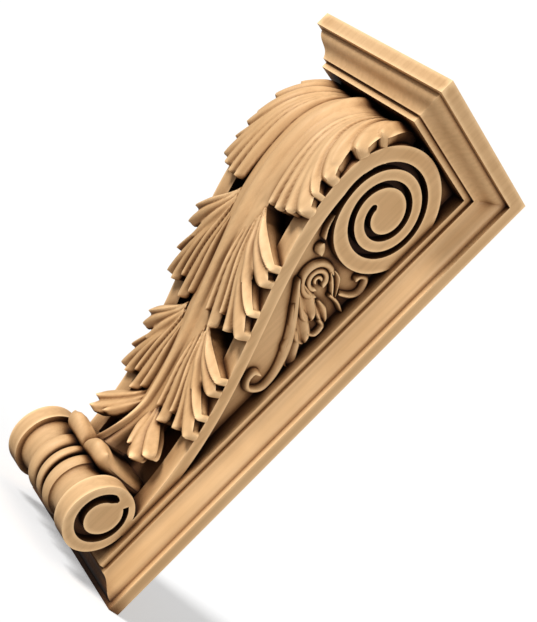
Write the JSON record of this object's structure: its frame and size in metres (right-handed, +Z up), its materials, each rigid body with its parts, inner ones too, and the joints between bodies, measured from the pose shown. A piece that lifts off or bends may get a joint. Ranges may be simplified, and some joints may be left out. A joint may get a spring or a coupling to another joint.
{
  "type": "acanthus corbel",
  "caption": "Carved wooden wall bracket: moulded back plate and abacus, S-scroll with spiral volutes, acanthus leaf down the front and a turned spool at the foot.",
  "frame": {"origin": "centre of the flat wall face of the back plate", "axes": "+Z up along the back plate, -Y out from the wall towards the viewer, +X to the right as seen from the front"},
  "size_m": [0.1076, 0.1023, 0.3],
  "materials": {
    "carved_wood": "smooth sanded light wood, unpainted, with a soft satin sheen"
  },
  "bodies": {
    "root": {"corbel": "carved_wood"}
  },
  "joints": []
}
